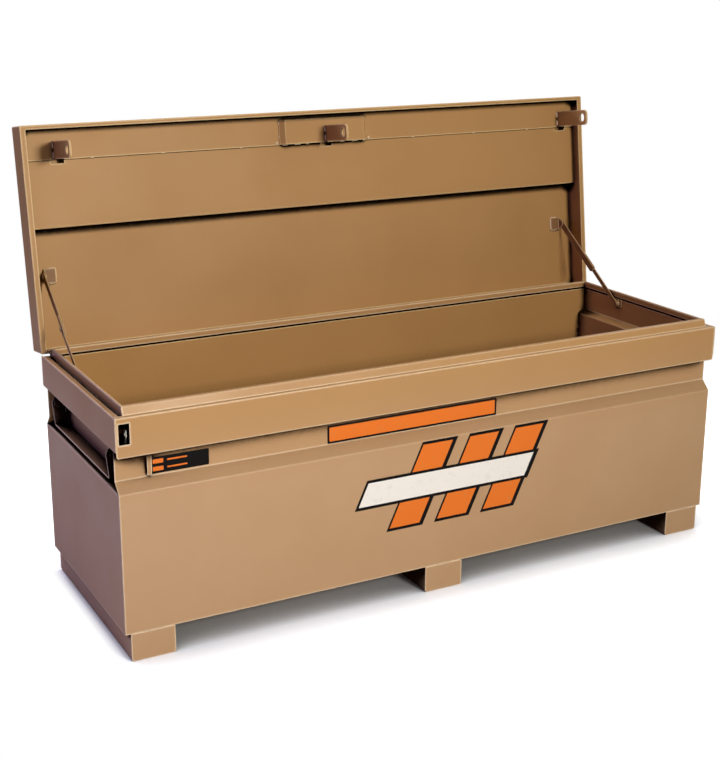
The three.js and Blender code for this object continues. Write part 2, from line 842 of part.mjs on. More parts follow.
// Places of the left stay's pivots in the (y, z) plane, with the lid as far open as openAngle
const opening = THREE.MathUtils.degToRad(openAngle);
const bodyPivot = new THREE.Vector2(stayBodyY, stayBodyZ);
const lidPivot = new THREE.Vector2(stayLidY, stayLidZ);
const openLidPivot = lidPivot.clone().rotateAround(new THREE.Vector2(hingeY, hingeZ), -opening);
const openKnee = bodyPivot.clone().lerp(openLidPivot, lowerLinkShare);
const lowerLayer = [stayPlane, stayPlane + linkThickness];
const upperLayer = [lowerLayer[1] + linkGap, lowerLayer[1] + linkGap + linkThickness];
const earLayer = [upperLayer[1] + linkGap, upperLayer[1] + linkGap + stayPlate];

// A flat link with round ends between two places
function link(from, to, halfWidth, layer) {
  const heading = to.clone().sub(from).angle();
  const shape = new THREE.Shape();
  shape.absarc(from.x, from.y, halfWidth, heading + Math.PI / 2, heading + 3 * Math.PI / 2);
  shape.absarc(to.x, to.y, halfWidth, heading - Math.PI / 2, heading + Math.PI / 2);
  return alongX(shape, ...layer);
}

function pivotHole(point, layer) {
  return rodAlongX(stayHoleRadius, layer[0] - overrun, layer[1] + overrun, point.x, point.y);
}

// Upper link: drilled at the lid, riveted at the knee, with the folded flange that stops the knee
function stayUpper() {
  const along = openLidPivot.clone().sub(openKnee).normalize();
  const heading = along.angle();
  const tail = openKnee.clone().addScaledVector(along, upperHalfWidth - kneeReach);
  const strap = link(tail, openLidPivot, upperHalfWidth, upperLayer);
  const flangeInner = upperHalfWidth - stopFlangeThickness;
  const flangeSpan = [openKnee.x - stopFlangeBelow, openKnee.x + stopFlangeAbove];
  const turnToLink = (geometry) => {
    geometry.translate(0, -openKnee.x, -openKnee.y);
    geometry.rotateX(heading);
    return geometry.translate(0, openKnee.x, openKnee.y);
  };
  const flange = turnToLink(block(
    lowerLayer[0], upperLayer[1], ...flangeSpan,
    openKnee.y + flangeInner, openKnee.y + flangeInner + stopFlangeThickness));
  const root = turnToLink(block(
    ...upperLayer, ...flangeSpan, openKnee.y, openKnee.y + flangeInner + stopFlangeThickness / 2));
  const head = [lowerLayer[0] - linkGap - stayHeadThickness, lowerLayer[0] - linkGap];
  const rivet = rodAlongX(
    stayRivetRadius, (head[0] + head[1]) / 2, (upperLayer[0] + upperLayer[1]) / 2, openKnee.x, openKnee.y);
  const rivetHead = rodAlongX(stayHeadRadius, ...head, openKnee.x, openKnee.y);
  return cut(join(strap, flange, root, rivet, rivetHead), pivotHole(openLidPivot, upperLayer));
}

// Lower link: drilled at the knee, with a riveted stub that turns against the body bracket's boss
const bossFace = lowerLayer[0] - stayHeadThickness;

function stayLower() {
  const strap = link(bodyPivot, openKnee, lowerHalfWidth, lowerLayer);
  const stub = rodAlongX(stayHeadRadius, bossFace, upperLayer[0], bodyPivot.x, bodyPivot.y);
  return cut(join(strap, stub), pivotHole(openKnee, lowerLayer));
}

function stayBodyBracket() {
  const wallFace = upperWallInset + sheet + seam;
  const plate = alongX(roundedRectangle(
    stayBodyY - stayPlateHalfLength, stayBodyY + stayPlateHalfLength,
    stayBodyZ - stayPlateHalfHeight, stayBodyZ + stayPlateHalfHeight, stayPlate,
  ), wallFace, wallFace + stayPlate);
  const boss = rodAlongX(stayBossRadius, wallFace, bossFace - seam, stayBodyY, stayBodyZ);
  return join(plate, boss);
}

// Lid bracket: a plate on the skin, an ear down to the pivot, and the rivet through the upper link
function stayLidBracket() {
  const skin = lidTop - sheet - seam;
  const [earLeft, earRight] = earLayer;
  const plate = block(
    earLeft, earLeft + lidPlateWidth, stayLidY - lidPlateLength / 2, stayLidY + lidPlateLength / 2,
    skin - stayPlate, skin);
  const shape = new THREE.Shape();
  shape.absarc(stayLidY, stayLidZ, upperHalfWidth, Math.PI, 2 * Math.PI);
  shape.lineTo(stayLidY + lidPlateLength / 2, skin - stayPlate / 2);
  shape.lineTo(stayLidY - lidPlateLength / 2, skin - stayPlate / 2);
  const ear = alongX(shape, earLeft, earRight);
  const head = [upperLayer[0] - linkGap - stayHeadThickness, upperLayer[0] - linkGap];
  const rivet = rodAlongX(
    stayRivetRadius, (head[0] + head[1]) / 2, (earLeft + earRight) / 2, stayLidY, stayLidZ);
  const rivetHead = rodAlongX(stayHeadRadius, ...head, stayLidY, stayLidZ);
  return join(plate, ear, rivet, rivetHead);
}

// The body and what is fixed to it
const body = new THREE.Group();
const frontRail = header(fromFront, frontProud, frontHeaderBottom, seatHeight);
const corner = headerCorner();
body.add(
  piece('front_panel', wallPanel(fromFront, bandSlot()), paint),
  piece('rear_panel', wallPanel(fromRear), paint),
  piece('left_side_panel', sidePanel(), paint),
  piece('right_side_panel', mirrored(sidePanel()), paint),
  piece('floor_panel', floorPanel(), innerPaint),
  piece('front_header', cut(frontRail, lockOpening(), corner, mirrored(corner)), paint),
  piece('rear_header', header(fromRear, 0, sideHeaderBottom, seatHeight - rearSeatDrop), paint),
  piece('left_header', sideHeader(), paint),
  piece('right_header', mirrored(sideHeader()), paint),
  piece('skid_left', skid(skidInset), paint),
  piece('skid_middle', skid((length - skidWidth) / 2), paint),
  piece('skid_right', skid(length - skidInset - skidWidth), paint),
  piece('lock_housing', lockHousing(), paint),
  piece('lock_lug', lockLug(), zinc),
  piece('left_front_handle_bracket', handleBrackets.front(), zinc),
  piece('left_rear_handle_bracket', handleBrackets.rear(), zinc),
  piece('right_front_handle_bracket', mirrored(handleBrackets.front()), zinc),
  piece('right_rear_handle_bracket', mirrored(handleBrackets.rear()), zinc),
  piece('left_stay_body_bracket', stayBodyBracket(), paint),
  piece('right_stay_body_bracket', mirrored(stayBodyBracket()), paint),
  piece('hinge_body_leaf', hingeLeaf(-1, 0), paint),
  piece('hinge_pin', hingePin(), darkSteel),
);
['left', 'middle', 'right'].forEach((name, i) => {
  body.add(piece(`latch_guide_${name}`, latchGuide(length * guidePlaceShares[i]), innerPaint));
});

// Handles
body.add(
  piece('left_handle', dropHandle(), paint),
  piece('right_handle', mirrored(dropHandle()), paint),
);

// Latch
body.add(
  piece('latch_bar', latchBar(), innerPaint),
  piece('latch_tab', latchTab(), paint),
);
['left', 'centre', 'right'].forEach((name, i) => {
  body.add(piece(`latch_bracket_${name}`, latchBracket(haspPlaces[i]), innerPaint));
});

// Stays, drawn where the open lid holds them
body.add(
  piece('left_stay_upper', stayUpper(), paint),
  piece('left_stay_lower', stayLower(), paint),
  piece('right_stay_upper', mirrored(stayUpper()), paint),
  piece('right_stay_lower', mirrored(stayLower()), paint),
);

// The lid, drawn closed and turned open about its hinge
const lid = new THREE.Group();
lid.position.set(0, -hingeY, -hingeZ);
lid.add(
  piece('lid_shell', lidShell(), paint),
  piece('lid_front_panel', lidFrontPanel(), innerPaint),
  piece('lid_stiffener', lidStiffener(), innerPaint),
  piece('lid_centre_box', lidCentreBox(), innerPaint),
  piece('left_stay_lid_bracket', stayLidBracket(), innerPaint),
  piece('right_stay_lid_bracket', mirrored(stayLidBracket()), innerPaint),
  piece('hinge_lid_leaf', hingeLeaf(1, 1), paint),
);
const haspSeats = [innerPanelHeight, innerPanelHeight - centreBoxDrop, innerPanelHeight];
['left', 'centre', 'right'].forEach((name, i) => {
  lid.add(piece(`hasp_${name}`, hasp(haspPlaces[i], haspSeats[i]), innerPaint));
});
const hinge = new THREE.Group();
hinge.position.set(0, hingeY, hingeZ);
hinge.rotation.x = -opening;
hinge.add(lid);

const chest = new THREE.Group();
chest.position.set(-length / 2, -depth / 2, 0);
chest.add(body, hinge);

export default chest;
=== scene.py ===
import json
import math

import bpy
import numpy as np
from mathutils import Matrix, Vector


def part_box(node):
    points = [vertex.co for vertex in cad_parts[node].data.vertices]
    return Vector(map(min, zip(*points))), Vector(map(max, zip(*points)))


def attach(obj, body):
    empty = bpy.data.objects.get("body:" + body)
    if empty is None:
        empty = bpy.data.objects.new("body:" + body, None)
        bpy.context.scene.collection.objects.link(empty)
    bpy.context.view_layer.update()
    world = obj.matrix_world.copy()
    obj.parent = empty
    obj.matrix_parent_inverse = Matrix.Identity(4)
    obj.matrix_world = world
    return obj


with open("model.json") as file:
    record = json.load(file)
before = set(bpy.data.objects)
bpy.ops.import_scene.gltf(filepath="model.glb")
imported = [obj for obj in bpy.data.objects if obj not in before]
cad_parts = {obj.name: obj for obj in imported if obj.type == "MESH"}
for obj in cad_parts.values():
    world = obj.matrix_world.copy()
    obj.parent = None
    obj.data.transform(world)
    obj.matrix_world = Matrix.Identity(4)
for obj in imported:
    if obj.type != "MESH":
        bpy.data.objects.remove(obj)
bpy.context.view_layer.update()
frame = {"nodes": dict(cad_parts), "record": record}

nodes = frame["nodes"]
print("frame loaded:", len(nodes), "nodes")

# Sizes in millimetres from the chest's front left bottom corner, as the CAD was drawn. bandSetBack is
# how far back the band under the front header lies, and headerFront where that header's face is. On
# the closed lid, innerPanel is the height of the two inner panels' open face, and lapEnd the line
# where one laps the other.
mm = 0.001
perMetre = 1000
chest = dict(length=1829, depth=610, skidHeight=75, bandSetBack=27, headerFront=-4)
lid = dict(openAngle=97.5, hingeY=610, hingeZ=639, innerPanel=678, lapEnd=91)


# Corner millimetres to the row frame in metres: less half the length and half the depth
def toRow(points):
    return (np.asarray(points, float) - [chest["length"] / 2, chest["depth"] / 2, 0]) * mm


# A place on the closed lid, turned back about the hinge by the open angle
def toOpenLid(points):
    p = np.array(points, float)
    angle = math.radians(lid["openAngle"])
    y, z = p[..., 1] - lid["hingeY"], p[..., 2] - lid["hingeZ"]
    p[..., 1] = lid["hingeY"] + y * math.cos(angle) + z * math.sin(angle)
    p[..., 2] = lid["hingeZ"] - y * math.sin(angle) + z * math.cos(angle)
    return p


# sRGB hex to linear red, green, blue and one
def linear(code):
    c = np.array([int(code[i:i + 2], 16) for i in (1, 3, 5)]) / 255
    return tuple(np.where(c <= 0.04045, c / 12.92, ((c + 0.055) / 1.055) ** 2.4)) + (1.0,)


# Adds a node with its settings; links are pairs of an input and an output socket
def add(tree, kind, links=(), **settings):
    node = tree.nodes.new(kind)
    for name, value in settings.items():
        if name.startswith("in_"):
            key = name[3:]
            socket = node.inputs[int(key)] if key.isdigit() else node.inputs[key.replace("_", " ")]
            socket.default_value = value
        else:
            setattr(node, name, value)
    for key, output in links:
        tree.links.new(output, node.inputs[key])
    return node


# A new material and its emptied node tree
def newMaterial(name):
    material = bpy.data.materials.new(name)
    material.use_nodes = True
    material.node_tree.nodes.clear()
    return material, material.node_tree


# Camera, at the photograph's place: solved from the edges of the chest. Its place is in metres, its
# focal length and centre are in pixels of the frame, and its film is in millimetres.
view = dict(place=(-1.8517, -3.2422, 1.6577), heading=(0.44561, 0.85149, -0.27640),
            focalPixels=1368.2, centre=(342.32, 358.02), frame=(720, 759), film=36)


def makeCamera():
    long = max(view["frame"])
    data = bpy.data.cameras.new("camera")
    data.sensor_width = view["film"]
    data.lens = view["focalPixels"] * view["film"] / long
    data.shift_x = (view["frame"][0] / 2 - view["centre"][0]) / long
    data.shift_y = (view["centre"][1] - view["frame"][1] / 2) / long
    data.clip_end = 100
    camera = bpy.data.objects.new("camera", data)
    bpy.context.scene.collection.objects.link(camera)
    forward = Vector(view["heading"]).normalized()
    right = forward.cross(Vector((0, 0, 1))).normalized()
    up = right.cross(forward)
    turn = Matrix((right, up, -forward)).transposed().to_4x4()
    camera.matrix_world = Matrix.Translation(view["place"]) @ turn
    bpy.context.scene.camera = camera


makeCamera()

# Lamps, in metres and watts: a key in front, right of the middle, with flags that hold it back from
# the right end and the low parts; one high behind on the left that lights the left end and the upper
# edges; a weak violet one on the left; a weak warm one on the right; one above.
lamps = [
    dict(name="key", place=(0.65, -4.6, 2.3), aim=(-0.1, 0.0, 0.4), size=0.9, power=176,
         colour="#FFFAF0", sideFlag=(-0.33, 0.07, 1.22, 0.72), lowFlag=(-0.40, -0.25, 0.97, 1.10)),
    dict(name="behind", place=(-1.3, 3.4, 3.4), aim=(0.0, 0.0, 0.4), size=1.8, power=100,
         colour="#F6E6FF"),
    dict(name="left", place=(-4.4, -1.2, 1.2), aim=(-0.6, 0.0, 0.4), size=2.6, power=27,
         colour="#8A70FF"),
    dict(name="right", place=(4.4, 0.3, 1.6), aim=(0.6, 0.0, 0.4), size=2.6, power=26,
         colour="#FFF2E6"),
    dict(name="above", place=(0.3, 0.4, 4.4), aim=(0.0, 0.0, 0.0), size=1.8, power=34,
         colour="#FFF0E0"),
]


def makeLamp(settings):
    data = bpy.data.lights.new(settings["name"], "AREA")
    data.size = settings["size"]
    data.energy = settings["power"]
    data.color = linear(settings["colour"])[:3]
    lamp = bpy.data.objects.new(settings["name"], data)
    bpy.context.scene.collection.objects.link(lamp)
    lamp.location = settings["place"]
    aim = Vector(settings["aim"]) - Vector(settings["place"])
    lamp.rotation_euler = aim.to_track_quat("-Z", "Y").to_euler()
    if "sideFlag" in settings:
        flagLamp(data, settings["sideFlag"], settings["lowFlag"])


# Flags beside and below a lamp: its strength changes with the way its light heads. In a lamp's own
# nodes Incoming is that heading, from the lamp to the lit place, so it is the same for every camera.
# A flag holds two headings, along x or along z, and the share of the strength at each.
def flagLamp(data, sideFlag, lowFlag):
    data.use_nodes = True
    tree = data.node_tree
    tree.nodes.clear()
    heading = add(tree, "ShaderNodeNewGeometry").outputs["Incoming"]
    parts = add(tree, "ShaderNodeSeparateXYZ", [(0, heading)])
    side, low = [add(tree, "ShaderNodeMapRange", [(0, parts.outputs[axis])], in_1=flag[0], in_2=flag[1],
                     in_3=flag[2], in_4=flag[3]) for axis, flag in ((0, sideFlag), (2, lowFlag))]
    strength = add(tree, "ShaderNodeMath", [(0, side.outputs[0]), (1, low.outputs[0])],
                   operation="MULTIPLY")
    light = add(tree, "ShaderNodeEmission", [("Strength", strength.outputs[0])])
    add(tree, "ShaderNodeOutputLight", [(0, light.outputs[0])])


for settings in lamps:
    makeLamp(settings)

# The surround is plain white to the camera, in gloss and through glass, and lights the chest weakly
surround = dict(strength=0.02, colour="#FFFFFF")


def makeWorld():
    world = bpy.data.worlds.new("surround")
    world.use_nodes = True
    tree = world.node_tree
    tree.nodes.clear()
    path = add(tree, "ShaderNodeLightPath")
    seen = add(tree, "ShaderNodeMath", [(0, path.outputs["Is Camera Ray"]),
                                        (1, path.outputs["Is Glossy Ray"])], operation="MAXIMUM")
    seenOrThrough = add(tree, "ShaderNodeMath", [(0, seen.outputs[0]),
                                                 (1, path.outputs["Is Transmission Ray"])],
                        operation="MAXIMUM")
    light = add(tree, "ShaderNodeBackground", in_Color=linear(surround["colour"]),
                in_Strength=surround["strength"])
    white = add(tree, "ShaderNodeBackground", in_Color=(1, 1, 1, 1), in_Strength=1.0)
    mix = add(tree, "ShaderNodeMixShader", [(0, seenOrThrough.outputs[0]), (1, light.outputs[0]),
                                            (2, white.outputs[0])])
    add(tree, "ShaderNodeOutputWorld", [(0, mix.outputs[0])])
    bpy.context.scene.world = world


makeWorld()
bpy.context.scene.view_settings.view_transform = "Standard"

# Floor: white paper that keeps the chest's soft shadow, in metres; the shadow is partly real from the lamps
# and partly painted. lift is the strength of a glow that stands for the studio's own light on it in the
# open, and within reach of the chest it falls as the openness to the given power, a painted shadow.
# contact holds the openness at which the paper is darkest, the one at which it is clear, and the share of
# its colour that is left at the darkest, a painted contact shadow. Between fadeFrom and fadeTo from the
# middle it goes over to plain white, with lengths along the chest counted at alongShare. So it does from
# the first to the second x of leftClear, which paints white over the lamps' shadow on the left.
floorSettings = dict(size=60, colour="#EDF1F7", glow=(0.97, 1.01, 1.05), lift=1.30, reach=0.25,
                     power=2.2, samples=16, paintedContactShadow=(0.20, 0.50, 0.37), alongShare=0.75,
                     fadeFrom=1.25, fadeTo=2.1, leftClear=(-0.905, -0.93))


def makeFloor():
    half = floorSettings["size"] / 2
    mesh = bpy.data.meshes.new("floor")
    mesh.from_pydata([(-half, -half, 0), (half, -half, 0), (half, half, 0), (-half, half, 0)], [],
                     [(0, 1, 2, 3)])
    floor = bpy.data.objects.new("floor", mesh)
    bpy.context.scene.collection.objects.link(floor)
    material, tree = newMaterial("whitePaper")
    path = add(tree, "ShaderNodeLightPath")
    paper = add(tree, "ShaderNodeBsdfDiffuse", in_Color=linear(floorSettings["colour"]))
    # a glow standing for the studio's own light; near the chest it is shaded, a painted shadow
    openness = add(tree, "ShaderNodeAmbientOcclusion", in_Distance=floorSettings["reach"],
                   samples=floorSettings["samples"])
    falloff = add(tree, "ShaderNodeMath", [(0, openness.outputs["AO"])], operation="POWER",
                  in_1=floorSettings["power"])
    strength = add(tree, "ShaderNodeMath", [(0, falloff.outputs[0])], operation="MULTIPLY",
                   in_1=floorSettings["lift"])
    glow = add(tree, "ShaderNodeEmission", [("Strength", strength.outputs[0])],
               in_Color=(*floorSettings["glow"], 1))
    # painted contact shadow: the paper's own colour is darkened close under the chest, where the camera
    # sees it
    dark, clear, least = floorSettings["paintedContactShadow"]
    paintedContactShadow = add(tree, "ShaderNodeMapRange", [(0, openness.outputs["AO"])], in_1=dark, in_2=clear,
                  in_3=least, in_4=1.0)
    paintedShadowTint = add(tree, "ShaderNodeVectorMath", [(3, paintedContactShadow.outputs[0])], operation="SCALE",
               in_0=linear(floorSettings["colour"])[:3])
    shadedPaper = add(tree, "ShaderNodeBsdfDiffuse", [(0, paintedShadowTint.outputs[0])])
    lit = add(tree, "ShaderNodeAddShader", [(0, shadedPaper.outputs[0]), (1, glow.outputs[0])])
    # plain white far away, and on the left, where it paints out the lamps' shadow
    white = add(tree, "ShaderNodeEmission", in_Color=(1, 1, 1, 1), in_Strength=1.0)
    place = add(tree, "ShaderNodeTexCoord").outputs["Object"]
    across = add(tree, "ShaderNodeVectorMath", [(0, place)], operation="MULTIPLY",
                 in_1=(floorSettings["alongShare"], 1.0, 0.0))
    away = add(tree, "ShaderNodeVectorMath", [(0, across.outputs[0])], operation="LENGTH")
    fade = add(tree, "ShaderNodeMapRange", [(0, away.outputs["Value"])], interpolation_type="SMOOTHSTEP",
               in_1=floorSettings["fadeFrom"], in_2=floorSettings["fadeTo"], in_3=0.0, in_4=1.0)
    floorX = add(tree, "ShaderNodeSeparateXYZ", [(0, place)])
    leftOf = add(tree, "ShaderNodeMapRange", [(0, floorX.outputs[0])],
                 in_1=floorSettings["leftClear"][0], in_2=floorSettings["leftClear"][1], in_3=0.0, in_4=1.0)
    plain = add(tree, "ShaderNodeMath", [(0, fade.outputs[0]), (1, leftOf.outputs[0])],
                operation="MAXIMUM")
    shown = add(tree, "ShaderNodeMixShader", [(0, plain.outputs[0]), (1, lit.outputs[0]),
                                              (2, white.outputs[0])])
    mix = add(tree, "ShaderNodeMixShader", [(0, path.outputs["Is Camera Ray"]),
                                            (1, paper.outputs[0]), (2, shown.outputs[0])])
    add(tree, "ShaderNodeOutputMaterial", [(0, mix.outputs[0])])
    mesh.materials.append(material)


makeFloor()
print("camera, lamps and floor made")

# Enamel on folded steel: baked tan paint. The eye gets a satin sheen, a faint orange peel, slow changes
# of tone where the coat is thicker, pale painted highlight lines along the folds, painted shade under
# overhangs, and a low half painted in the cool light off the floor. Orange peel is about 2.5 mm; on the
# sheets it is drawn at 7 or 8 mm so that it shows at this distance. crevice holds how far in metres an
# overhang casts painted shade on the coat, the openness at which that shade is full and the one at which it
# is gone.
# In each enamel, edge is the colour of the painted highlight along the folds and deep that of full painted
# shade; colour is the low half's and high the upper half's, and the step between them is painted light,
# cool off the floor below and warm above.
enamels = {
    "tanEnamel": dict(colour="#BE9A74", high="#B88E5C", dark="#AC8459", edge="#FFEBC8", paintedShadeColour="#22140B",
                      roughness=0.40, paintedShade=(0.11, 0.535, 0.63), peelMm=7, peelDepthMm=0.10,
                      cloudMm=260, cloudShare=0.30, grimeShare=0.18),
    "shadedInnerEnamel": dict(colour="#B48954", high="#B48954", dark="#9C733F", edge="#F2D8A4", paintedShadeColour="#050302",
                        roughness=0.47, paintedShade=(0.036, 0.42, 0.67), peelMm=8, peelDepthMm=0.12,
                        cloudMm=340, cloudShare=0.34, grimeShare=0.24),
}

# What every enamel shares. Heights and radii are in metres. Specks of dust, 1.5 mm across, are drawn
# at 5 mm. A painted highlight line on a fold shows where the face's own normal and a wide round's leave
# each other: its two numbers are their dot product where the line starts and where it is full. upward is
# how much of the way up is added to a face's own way out, where its openness is looked for the painted
# shade.
coat = dict(floorLightFrom=0.40, floorLightTo=0.60, cloudFrom=0.35, cloudTo=0.75, cloudDetail=3.0,
            cloudRoughness=0.55, speckMm=5, speckDetail=2.0, speckFrom=0.62, speckTo=0.80,
            foldRadius=0.003, foldSamples=4, highlightRadius=0.006, highlightSamples=6, line=(0.985, 0.90),
            highlightShare=0.8, upward=0.9, openSamples=20, gloss=0.22, peelDetail=1.0, peelStrength=0.35,
            sheenFrom=0.3, sheenTo=0.7, smoother=0.05, rougher=0.07, ior=1.5)


def enamel(name, settings):
    material, tree = newMaterial(name)
    place = add(tree, "ShaderNodeTexCoord").outputs["Object"]
    cloud = add(tree, "ShaderNodeTexNoise", [("Vector", place)], in_Scale=perMetre / settings["cloudMm"],
                in_Detail=coat["cloudDetail"], in_Roughness=coat["cloudRoughness"])
    cloudRamp = add(tree, "ShaderNodeMapRange", [(0, cloud.outputs["Fac"])], in_1=coat["cloudFrom"],
                    in_2=coat["cloudTo"], in_3=0.0, in_4=settings["cloudShare"])
    # painted light: the low half is paler and cooler, as the cool light off the floor would make it, and
    # the upper half warmer
    height = add(tree, "ShaderNodeSeparateXYZ", [(0, place)])
    upperShare = add(tree, "ShaderNodeMapRange", [(0, height.outputs[2])], in_1=coat["floorLightFrom"],
                in_2=coat["floorLightTo"], in_3=0.0, in_4=1.0)
    floorLitTone = add(tree, "ShaderNodeMix", [(0, upperShare.outputs[0])], data_type="RGBA",
                in_6=linear(settings["colour"]), in_7=linear(settings["high"]))
    tone = add(tree, "ShaderNodeMix", [(0, cloudRamp.outputs[0]), (6, floorLitTone.outputs[2])],
               data_type="RGBA", in_7=linear(settings["dark"]))
    # fine specks of dust in the coat
    speck = add(tree, "ShaderNodeTexNoise", [("Vector", place)], in_Scale=perMetre / coat["speckMm"],
                in_Detail=coat["speckDetail"])
    speckRamp = add(tree, "ShaderNodeMapRange", [(0, speck.outputs["Fac"])], in_1=coat["speckFrom"],
                    in_2=coat["speckTo"], in_3=0.0, in_4=settings["grimeShare"])
    specked = add(tree, "ShaderNodeMix", [(0, speckRamp.outputs[0]), (6, tone.outputs[2])],
                  data_type="RGBA", in_7=linear(settings["dark"]))
    # rounded folds, from the normal of a narrow round, and the pale painted highlight line on each fold,
    # from a wide one
    rounded = add(tree, "ShaderNodeBevel", samples=coat["foldSamples"], in_Radius=coat["foldRadius"])
    wide = add(tree, "ShaderNodeBevel", samples=coat["highlightSamples"], in_Radius=coat["highlightRadius"])
    true = add(tree, "ShaderNodeNewGeometry")
    along = add(tree, "ShaderNodeVectorMath", [(0, wide.outputs[0]), (1, true.outputs["Normal"])],
                operation="DOT_PRODUCT")
    edge = add(tree, "ShaderNodeMapRange", [(0, along.outputs["Value"])], in_1=coat["line"][0],
               in_2=coat["line"][1], in_3=0.0, in_4=coat["highlightShare"])
    highlighted = add(tree, "ShaderNodeMix", [(0, edge.outputs[0]), (6, specked.outputs[2])],
                data_type="RGBA", in_7=linear(settings["edge"]))
    # painted shade and less gloss under overhangs: how open a point is towards its face's own side and up
    reach, black, clear = settings["paintedShade"]
    towards = add(tree, "ShaderNodeVectorMath", [(0, true.outputs["Normal"])], operation="ADD",
                  in_1=(0.0, 0.0, coat["upward"]))
    openness = add(tree, "ShaderNodeAmbientOcclusion", [("Normal", towards.outputs[0])],
                   samples=coat["openSamples"], in_Distance=reach)
    shade = add(tree, "ShaderNodeMapRange", [(0, openness.outputs["AO"])],
                interpolation_type="SMOOTHSTEP", in_1=black, in_2=clear, in_3=0.0, in_4=1.0)
    gloss = add(tree, "ShaderNodeMath", [(0, shade.outputs[0])], operation="MULTIPLY",
                in_1=coat["gloss"])
    shaded = add(tree, "ShaderNodeMix", [(0, shade.outputs[0]), (7, highlighted.outputs[2])],
                 data_type="RGBA", in_6=linear(settings["paintedShadeColour"]))
    peel = add(tree, "ShaderNodeTexNoise", [("Vector", place)], in_Scale=perMetre / settings["peelMm"],
               in_Detail=coat["peelDetail"])
    bump = add(tree, "ShaderNodeBump", [("Height", peel.outputs["Fac"]), ("Normal", rounded.outputs[0])],
               in_Strength=coat["peelStrength"], in_Distance=settings["peelDepthMm"] * mm)
    sheen = add(tree, "ShaderNodeMapRange", [(0, cloud.outputs["Fac"])], in_1=coat["sheenFrom"],
                in_2=coat["sheenTo"], in_3=settings["roughness"] - coat["smoother"],
                in_4=settings["roughness"] + coat["rougher"])
    skin = add(tree, "ShaderNodeBsdfPrincipled",
               [("Base Color", shaded.outputs[2]), ("Roughness", sheen.outputs[0]),
                ("Specular IOR Level", gloss.outputs[0]), ("Normal", bump.outputs[0])],
               in_IOR=coat["ior"])
    add(tree, "ShaderNodeOutputMaterial", [(0, skin.outputs[0])])
    return material


tanEnamel = enamel("tanEnamel", enamels["tanEnamel"])
# The inner enamel is a darker, warmer copy of the tan: painted shade and warm bounce for the inside of the
# chest and the lid
shadedInnerEnamel = enamel("shadedInnerEnamel", enamels["shadedInnerEnamel"])

# Weld beads under the same coat, where the paint lies thick; their paler colour is a painted highlight
# where they catch the light
highlightEnamel = enamel("highlightEnamel", dict(enamels["tanEnamel"], colour="#DDBB8E", high="#E6C798",
                                       roughness=0.34, peelMm=3, paintedShade=(0.004, 0.0, 0.4)))

# The lock housing is painted near black: painted shade in its depth
shadowedHousingEnamel = enamel("shadowedHousingEnamel", dict(enamels["shadedInnerEnamel"], colour="#2A1E14", high="#2A1E14",
                                       dark="#16100B"))

# The stays are drawn steel in the same paint, in a darker brown
darkStayEnamel = enamel("darkStayEnamel", dict(enamels["shadedInnerEnamel"], colour="#8A6440", high="#8A6440",
                                           dark="#6B4A2C", edge="#D9B98A", paintedShade=(0.004, 0.0, 0.4)))

# Vinyl film of the stickers: flat colour, a little faded and scuffed. Scuffs lie about 18 mm apart,
# and the film ripples over about 33 mm.
films = {
    "blackFilm": dict(colour="#0B0908", worn="#191512", roughness=0.42),
    "orangeFilm": dict(colour="#E8792B", worn="#D08A4C", roughness=0.38),
    "whiteFilm": dict(colour="#F1EDE6", worn="#CFC6B8", roughness=0.38),
}
wear = dict(scuffsPerMetre=55.0, scuffDetail=6.0, scuffRoughness=0.7, scuffFrom=0.55, scuffTo=0.8,
            scuffShare=0.6, ripplesPerMetre=30.0, rippleDetail=1.0, rippleStrength=0.25,
            rippleDepthMm=0.2, specular=0.1, ior=1.5)


def vinyl(name, settings):
    material, tree = newMaterial(name)
    place = add(tree, "ShaderNodeTexCoord").outputs["Object"]
    scuff = add(tree, "ShaderNodeTexNoise", [("Vector", place)], in_Scale=wear["scuffsPerMetre"],
                in_Detail=wear["scuffDetail"], in_Roughness=wear["scuffRoughness"])
    worn = add(tree, "ShaderNodeMapRange", [(0, scuff.outputs["Fac"])], in_1=wear["scuffFrom"],
               in_2=wear["scuffTo"], in_3=0.0, in_4=wear["scuffShare"])
    tone = add(tree, "ShaderNodeMix", [(0, worn.outputs[0])], data_type="RGBA",
               in_6=linear(settings["colour"]), in_7=linear(settings["worn"]))
    ripple = add(tree, "ShaderNodeTexNoise", [("Vector", place)], in_Scale=wear["ripplesPerMetre"],
                 in_Detail=wear["rippleDetail"])
    bump = add(tree, "ShaderNodeBump", [("Height", ripple.outputs["Fac"])],
               in_Strength=wear["rippleStrength"], in_Distance=wear["rippleDepthMm"] * mm)
    skin = add(tree, "ShaderNodeBsdfPrincipled", [("Base Color", tone.outputs[2]),
                                                  ("Normal", bump.outputs[0])],
               in_Roughness=settings["roughness"], in_IOR=wear["ior"],
               in_Specular_IOR_Level=wear["specular"])
    add(tree, "ShaderNodeOutputMaterial", [(0, skin.outputs[0])])
    return material


blackFilm = vinyl("blackFilm", films["blackFilm"])
orangeFilm = vinyl("orangeFilm", films["orangeFilm"])
whiteFilm = vinyl("whiteFilm", films["whiteFilm"])

# Zinc-plated and drawn steel: a cool satin metal with fine drawn lines along x, and blotches about
# 17 mm across
metals = {
    "zincPlate": dict(colour="#C9C6BE", dark="#8F8B82", roughness=0.38, lineMm=1.2),
    "drawnSteel": dict(colour="#8A857D", dark="#5A554E", roughness=0.45, lineMm=0.9),
}
drawing = dict(stretch=(0.05, 1.0, 1.0), lineDetail=2.0, blotchesPerMetre=60.0, blotchDetail=3.0,
               sheenFrom=0.3, sheenTo=0.7, smoother=0.06, rougher=0.10, lineStrength=0.2,
               lineDepthMm=0.1)


